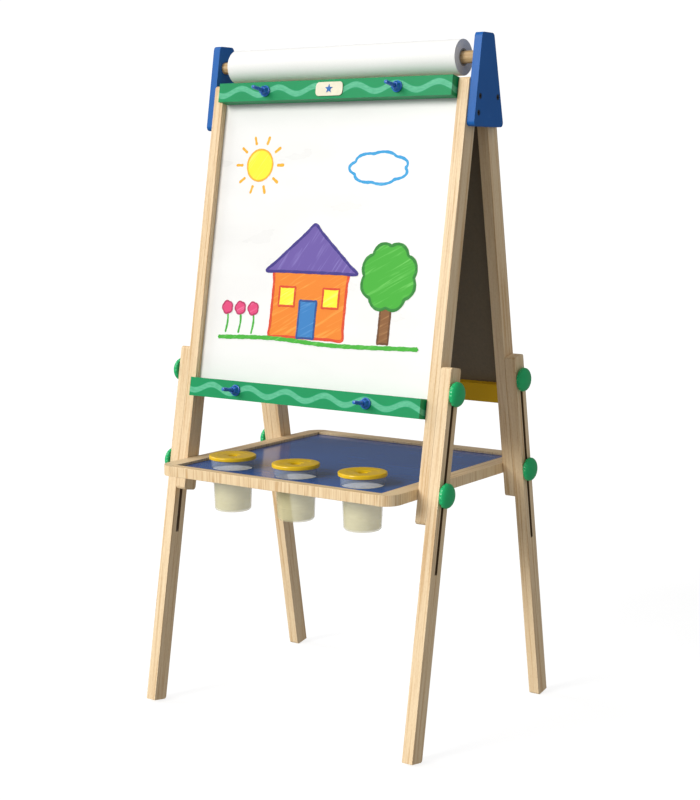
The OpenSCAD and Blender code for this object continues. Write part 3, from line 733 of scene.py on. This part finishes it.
def trayLaminate():
    # High-gloss blue melamine: mirror-like sheen over a deep blue with faint wiped streaks and fine scratches
    material, tree, shader = newMaterial("high-gloss blue melamine", IOR=1.46, Specular_IOR_Level=0.3,
                                         Coat_Weight=0.2, Coat_Roughness=0.02)
    place = objectCoords(tree)
    wiped = noise(tree, place, (6, 22, 6), 6.0, turn=(0, 0, 0.35))
    hair = noise(tree, place, (70, 1100, 70), 2.0, turn=(0, 0, 0.9))
    colour = ramp(tree, wiped, [(0.3, "#2458A4"), (0.55, "#2A5EAA"), (0.8, "#3366B0")])
    rough = spread(tree, wiped, 0.12, 0.26)
    bump = bumped(tree, 0.02, 0.2 * mm, hair)
    link(tree, shader, Base_Color=colour, Roughness=rough, Normal=bump)
    return material


easedCopy("tray_panel", trayLaminate(), 0.5 * mm)

# Cups and lids
def clearCup():
    # Natural polypropylene: milky and half clear below the tray, clearer at the collar, with a faint flow line
    material, tree, shader = newMaterial("natural polypropylene", IOR=1.49, Roughness=0.16)
    texture = addNode(tree, "ShaderNodeTexCoord")
    height = addNode(tree, "ShaderNodeSeparateXYZ", {0: texture.outputs["Object"]}).outputs[2]
    panelTop = float(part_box("tray_panel")[1][2])
    collar = spread(tree, height, 0.0, 1.0, panelTop - 6 * mm, panelTop + 2 * mm)
    flow = noise(tree, texture.outputs["Object"], (60, 60, 220), 3.0)
    colour = mixed(tree, collar, "#FBF4C6", "#AEBEDA")
    solid = spread(tree, collar, 0.38, 0.30)
    cloudy = calc(tree, "ADD", spread(tree, flow, -0.03, 0.03), solid)
    bump = bumped(tree, 0.05, 0.3 * mm, flow)
    link(tree, shader, Base_Color=colour, Alpha=cloudy, Normal=bump)
    return material


cupPlastic = clearCup()


def lidPlastic():
    # Glossy yellow polypropylene; the tube under the hole, below the cup's rim, is painted dark brown as painted
    # shadow
    material = moulded("glossy yellow polypropylene", "#EDC21A", 3.3, (0.2, 0.3), 0.04)
    tree, shader, yellow = repaint(material)
    height = addNode(tree, "ShaderNodeSeparateXYZ", {0: objectCoords(tree)}).outputs[2]
    # painted shadow: everything of the lid below the cup's rim is coloured dark brown
    belowRimShadow = calc(tree, "LESS_THAN", height, float(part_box("cup_middle")[1][2] - 1.2 * mm))
    both = mixed(tree, belowRimShadow, yellow, "#2A231C")
    link(tree, shader, Base_Color=both)
    return material


lidYellow = lidPlastic()
cup = {"wall": 1.6 * mm, "rib": 0.35 * mm}
for side in ("left", "middle", "right"):
    nodeName = "cup_" + side
    low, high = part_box(nodeName)
    centre = [(low[0] + high[0]) / 2, (low[1] + high[1]) / 2, 0]
    collarR = (high[0] - low[0]) / 2
    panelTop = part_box("tray_panel")[1][2]
    rest, base, top = panelTop + 0.2 * mm, low[2], high[2]
    bodyR, lowR, wall = collarR - 3 * mm, collarR - 6 * mm, cup["wall"]
    # Cup wall: straight taper, a foot ring under the base, a flange that rests on the tray and a lipped collar
    outer = [[0, base + 0.8 * mm], [lowR - 5 * mm, base + 0.8 * mm], [lowR - 4.4 * mm, base],
             [lowR - 2.6 * mm, base],
             [lowR, base + 2.8 * mm]]
    for share in (0.30, 0.62):                       # two faint filling lines moulded round the wall
        z = base + (rest - base) * share
        r = lowR + (bodyR - lowR) * share
        outer += [[r - 0.1 * mm, z - 1 * mm], [r + cup["rib"] - 0.2 * mm, z], [r, z + 1 * mm]]
    outer += [[bodyR, rest], [collarR - 1 * mm, rest], [collarR - 0.1 * mm, top - 1.5 * mm], [collarR, top]]
    inner = [[collarR - wall, top], [collarR - 1 * mm - wall, rest + wall], [bodyR - wall, rest + wall],
             [lowR - wall, base + 4 * mm], [lowR - 3 * mm - wall, base + 2 * mm], [0, base + 2 * mm]]
    profile = rounded(outer + inner, 0.7 * mm, 3)
    gridPiece(nodeName + "_moulded", [turnedGrid(profile, centre, (0, 0, 1), 96)], cupPlastic, bodyOf[nodeName],
              "cup_plastic", [nodeName], 40)
    nodeName = "cup_lid_" + side
    low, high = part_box(nodeName)
    lidR, top = (high[0] - low[0]) / 2, high[2]
    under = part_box("cup_" + side)[1][2] + 0.2 * mm
    hole, plug = 8 * mm, 12 * mm
    # Lid: rolled rim, shallow dished top with one step, and a tube that hangs under the hole
    profile = rounded([[hole, top - 2.2 * mm], [hole + 0.8 * mm, top - 1.9 * mm], [plug + 0.4 * mm, top - 1.4 * mm],
                       [plug + 1.6 * mm, top - 0.7 * mm], [lidR * 0.62, top - 0.55 * mm],
                       [lidR * 0.64, top - 0.15 * mm],
                       [lidR - 2.2 * mm, top], [lidR - 0.6 * mm, top - 0.4 * mm], [lidR, top - 1.6 * mm],
                       [lidR - 0.1 * mm, under - 0.4 * mm], [lidR - 0.5 * mm, low[2] + 6 * mm],
                       [collarR + 0.5 * mm, low[2] + 6 * mm], [collarR + 0.4 * mm, under], [plug, under],
                       [plug - 1 * mm, under - 7 * mm], [hole, under - 7 * mm], [hole, top - 2.2 * mm]], 0.6 * mm,
                       3)
    gridPiece(nodeName + "_moulded", [turnedGrid(profile, centre, (0, 0, 1), 96)], lidYellow, bodyOf[nodeName],
              "yellow_plastic", [nodeName], 40)
print("tray, cups and lids")

# Marker drawing on the board
boardLow = leanBox("whiteboard")[0]


def markerInk(name, base, pale, seed, turn=0.5):
    # Felt-pen ink: strong colour in overlapping strokes about 4 mm wide, paler where the pen lifts
    material, tree, shader = newMaterial(name, IOR=1.4, Roughness=0.55)
    texture = addNode(tree, "ShaderNodeTexCoord")
    upright = addNode(tree, "ShaderNodeMapping", {0: texture.outputs["Object"], "Rotation": leanTurn})
    slanted = addNode(tree, "ShaderNodeMapping", {0: upright.outputs[0], "Rotation": (0, turn, 0),
                                                  "Location": (seed, 0, seed * 0.6)})
    pen = noise(tree, slanted.outputs[0], (16, 16, 260), 3.0, Distortion=0.4)
    colour = ramp(tree, pen, [(0.35, base), (0.56, base), (0.72, pale)])
    link(tree, shader, Base_Color=colour)
    return material


def smoothLine(points, count=60, closed=False):
    # Catmull-Rom curve through the points: each span is a cubic of its two ends and their neighbours
    p = np.array(points, float)
    spans = len(p) if closed else len(p) - 1
    if closed:
        p = np.concatenate([p[-1:], p, p[:2]])
    else:
        p = np.concatenate([[2 * p[0] - p[1]], p, [2 * p[-1] - p[-2]]])
    t = np.linspace(0, spans, count, endpoint=not closed)
    k = np.minimum(t.astype(int), spans - 1)
    t = (t - k)[:, None]
    a, b, c, d = p[k], p[k + 1], p[k + 2], p[k + 3]
    return 0.5 * (2 * b + (c - a) * t + (2 * a - 5 * b + 4 * c - d) * t * t + (3 * b - a - 3 * c + d) * t ** 3)


inkThick = 0.12 * mm


def boardPoint(flat, depth):
    # From the board's own millimetres, across from its middle and up from its lower edge
    return leanPoint(flat[..., 0] * mm, boardLow[1] - depth, boardLow[2] + flat[..., 1] * mm)


def strokeGrid(points, width, layer, closed, count):
    # Pen stroke: a flat closed ribbon carried along the curve, with round ends where the width falls to nothing
    line = smoothLine(points, count, closed) if len(points) > 2 else np.linspace(points[0], points[-1], count)
    if closed:
        line = np.concatenate([line, line[:1]])
    step = np.gradient(line, axis=0)
    if closed:
        step[0] = step[-1] = line[1] - line[-2]
    step /= np.linalg.norm(step, axis=1)[:, None] + 1e-12
    across = np.stack([-step[:, 1], step[:, 0]], 1)
    run = np.concatenate([[0], np.cumsum(np.linalg.norm(np.diff(line, axis=0), axis=1))])
    wobble = 1 + 0.10 * np.sin(run * 0.23 + points[0][0]) + 0.06 * np.sin(run * 0.71)
    half = 0.5 * width * wobble
    if not closed:
        ends = np.minimum(run, run[-1] - run) / (0.5 * width)
        half = half * np.sqrt(np.clip(1 - (1 - np.clip(ends, 0, 1)) ** 2, 0.0004, 1))
    ribs = np.stack([line + across * half[:, None], line + across * half[:, None] * 0.6,
                     line - across * half[:, None] * 0.6, line - across * half[:, None]], 1)
    edge, face = layer + inkThick * 0.4, layer + inkThick
    front = boardPoint(ribs, np.array([edge, face, face, edge])[None, :])
    back = boardPoint(ribs[:, ::-1], np.full((1, 4), layer))
    return np.concatenate([front, back], 1)


def strokes(name, lines, width, layer, colours, slotName, closed=False, count=60):
    grids = [strokeGrid(line, width, layer * mm, closed, count) for line in lines]
    return gridPiece(name, grids, markerInk(name.replace("_", " ") + " felt-pen ink", *colours), "front_frame",
                     slotName, (), 60, 2e-6)


def fillGrid(outline, layer, count=72, rings=5):
    # Coloured patch: rays from the outline's middle to the outline, closed over a flat back
    edge = smoothLine(outline, count, True)
    middle = edge.mean(0)
    share = np.linspace(0, 1, rings)[:, None, None]
    flat = middle + share * (edge - middle)[None]
    front = boardPoint(flat, layer + inkThick * np.where(share[..., 0] > 0.99, 0.5, 1.0))
    back = boardPoint(flat[::-1], np.full((1, 1), layer))
    return np.concatenate([front, back], 0)


def fills(name, outlines, layer, colours, slotName, count=72):
    grids = [fillGrid(outline, layer * mm, count) for outline in outlines]
    return gridPiece(name, grids, markerInk(name.replace("_", " ") + " felt-pen ink", *colours), "front_frame",
                     slotName, (), 60, 2e-6)


def oval(x, y, wide, tall, turn=0.0, count=12):
    # Points round an ellipse: wide * cos(angle) across and tall * sin(angle) up, turned about its middle
    a = np.linspace(0, 2 * np.pi, count, endpoint=False)
    p = np.stack([wide * np.cos(a), tall * np.sin(a)], 1)
    c, s = math.cos(turn), math.sin(turn)
    return p @ np.array([[c, s], [-s, c]]) + [x, y]


def straightSided(corners, steps=6):
    # A flat-sided outline: each side cut in equal steps, so the smooth curve stays straight between the corners
    corners = np.array(corners, float)
    share = np.linspace(0, 1, steps, endpoint=False)[:, None]
    return np.concatenate([a + share * (b - a) for a, b in zip(corners, np.roll(corners, -1, axis=0))])


def square(x, y, wide, tall):
    return straightSided([(x, y), (x + wide, y), (x + wide, y + tall), (x, y + tall)])


def puffLine(x, y, wide, tall, puffs):
    # Cloud or tree top: an oval whose radius rises and falls once for each puff
    a = np.linspace(0, 2 * np.pi, puffs * 6, endpoint=False)
    r = 1 + 0.12 * np.abs(np.sin(a * puffs / 2))
    return np.stack([x + wide * r * np.cos(a), y + tall * r * np.sin(a)], 1)


def coloured(name, outlines, layer, ink, edge, width=5.0):
    # A patch coloured in and then gone round once with a darker pen
    fills("drawing_" + name, outlines, layer, ink, "whiteboard", 96)
    strokes("drawing_" + name + "_edge", outlines, width, layer + 0.14, edge, "whiteboard", True, 150)


# A plain house with a tree, three flowers, a corner sun and one cloud
house = {"left": -95, "low": 110, "wide": 150, "tall": 110, "eaves": 18, "roof": 80, "door": 34, "pane": 32}
wallTop = house["low"] + house["tall"]
right = house["left"] + house["wide"]
coloured("walls", [square(house["left"], house["low"], house["wide"], house["tall"])], 0.02,
         ("#F08518", "#FAA63E", 0.3), ("#DE4318", "#EA5F34", 0.9))
coloured("roof", [straightSided([(house["left"] - house["eaves"], wallTop), (right + house["eaves"], wallTop),
                                 (house["left"] + house["wide"] / 2, wallTop + house["roof"])])], 0.30,
         ("#6A55A8", "#8474BE", 0.5, 1.0), ("#3A2D86", "#4F429A", 0.1))
coloured("door", [square(house["left"] + 58, house["low"], house["door"], 62)], 0.30,
         ("#2F7FC4", "#5FA0D6", 0.4), ("#1F4F94", "#3C6CAC", 0.2), 3.6)
coloured("windows", [square(x, house["low"] + 52, house["pane"], house["pane"])
                     for x in (house["left"] + 14, right - 14 - house["pane"])], 0.30,
         ("#FBF02A", "#FDF56A", 0.7), ("#DE4318", "#EA5F34", 0.4), 3.6)
tree = {"x": 135, "low": 110, "trunk": 20, "height": 70, "crown": 48}
coloured("trunk", [square(tree["x"] - tree["trunk"] / 2, tree["low"], tree["trunk"], tree["height"])], 0.02,
         ("#8A5A2C", "#A97845", 0.5), ("#6A421D", "#85592F", 0.3), 3.6)
coloured("crown", [puffLine(tree["x"], tree["low"] + tree["height"] + tree["crown"] * 0.8, tree["crown"],
                            tree["crown"] * 1.05, 8)], 0.30, ("#3FB22E", "#6ACB58", 0.2),
                            ("#23842A", "#3F9C42", 0.6))
flowers = {"places": (-190, -162, -134), "low": 110, "height": 44, "petal": 10}
strokes("drawing_stems", [[(x, flowers["low"]), (x + 3, flowers["low"] + 22),
                           (x, flowers["low"] + flowers["height"])]
                          for x in flowers["places"]], 4.0, 0.02, ("#3FB22E", "#6ACB58", 0.4), "whiteboard", False,
                          30)
coloured("petals", [puffLine(x, flowers["low"] + flowers["height"], flowers["petal"], flowers["petal"], 5)
                    for x in flowers["places"]], 0.30, ("#E4447C", "#EE7AA2", 0.3), ("#B82A5E", "#CC507C", 0.5),
                    2.6)
strokes("drawing_ground", [[(-205, 102), (-90, 106), (40, 101), (205, 105)]], 7.0, 0.62,
        ("#3FB22E", "#6ACB58", 0.8), "whiteboard", False, 160)

sun = {"x": -150, "y": 400, "radius": 27, "rays": 10}
coloured("sun", [oval(sun["x"], sun["y"], sun["radius"], sun["radius"], 0, 14)], 0.02,
         ("#FBF02A", "#FDF56A", 0.7, 0.9), ("#F5B420", "#F9CB55", 0.3), 3.2)
turns = np.linspace(0, 2 * np.pi, sun["rays"], endpoint=False)
strokes("drawing_rays", [[(sun["x"] + r * math.cos(a), sun["y"] + r * math.sin(a)) for r in (36, 44, 52)]
                         for a in turns], 5.0, 0.02, ("#F5B420", "#F9CB55", 0.3), "whiteboard", False, 20)
strokes("drawing_cloud", [puffLine(95, 395, 52, 24, 7)], 5.0, 0.02, ("#2FA3E0", "#63BEEA", 0.2), "whiteboard",
        True, 220)
print("marker drawing")

# Stage, lights and camera
def stageFloor():
    mesh = bpy.data.meshes.new("studio_floor")
    reach, below = 14.0, -0.4 * mm
    corners = [(-reach, -reach, below), (reach, -reach, below), (reach, reach, below), (-reach, reach, below)]
    mesh.from_pydata(corners, [], [(0, 1, 2, 3)])
    floor = bpy.data.objects.new("studio_floor", mesh)
    bpy.context.scene.collection.objects.link(floor)
    # Matt white paper sweep, lit up a little so that it meets the white surround without a line
    material, tree, shader = newMaterial("matt white sweep", Roughness=0.9, Emission_Strength=0.80,
                                         Emission_Color=(1, 1, 1, 1))
    mottle = noise(tree, objectCoords(tree), 2.0, 2.0)
    tone = ramp(tree, mottle, [(0.3, 0.29), (0.7, 0.32)])
    link(tree, shader, Base_Color=tone)
    mesh.materials.append(material)
    floor.visible_diffuse = floor.visible_glossy = False      # the surround lights the object evenly from below
    return floor


stageFloor()
lights = {
    "key": {"from": (-0.30, -0.88, 0.42), "power": 2.15, "soft": 24, "colour": "#FFFDF9"},
    "left": {"from": (-0.86, -0.20, 0.50), "power": 1.1, "soft": 35, "colour": "#FFFFFF"},
}
for name, light in lights.items():
    data = bpy.data.lights.new(name + "_light", "SUN")
    data.energy = light["power"]
    data.color = hexColour(light["colour"])[:3]
    data.angle = math.radians(light["soft"])
    lamp = bpy.data.objects.new(name + "_light", data)
    bpy.context.scene.collection.objects.link(lamp)
    lamp.location = light["from"]
    lamp.rotation_euler = (-lamp.location).to_track_quat("-Z", "Y").to_euler()

world = bpy.data.worlds.new("studio_surround")
bpy.context.scene.world = world
world.use_nodes = True
tree = world.node_tree
ray = addNode(tree, "ShaderNodeLightPath")
strength = spread(tree, ray.outputs["Is Glossy Ray"], 0.40, 0.17)
seen = addNode(tree, "ShaderNodeMix", {0: ray.outputs["Is Camera Ray"], 2: strength, 3: 1.05},
               data_type="FLOAT")
tree.nodes["Background"].inputs["Color"].default_value = (1, 1, 1, 1)
tree.links.new(seen.outputs[0], tree.nodes["Background"].inputs["Strength"])

camera = {"at": (1.5206, -2.1940, 0.9173), "turn": (81.716, 0.0, 34.673), "lens": 70.5}
eye = bpy.data.cameras.new("camera")
eye.lens, eye.sensor_width, eye.clip_end = camera["lens"], 36.0, 60.0
eyeObject = bpy.data.objects.new("camera", eye)
bpy.context.scene.collection.objects.link(eyeObject)
eyeObject.location = camera["at"]
eyeObject.rotation_euler = [math.radians(a) for a in camera["turn"]]
bpy.context.scene.camera = eyeObject
bpy.context.scene.view_settings.view_transform = "Standard"

print("stage, lights and camera")
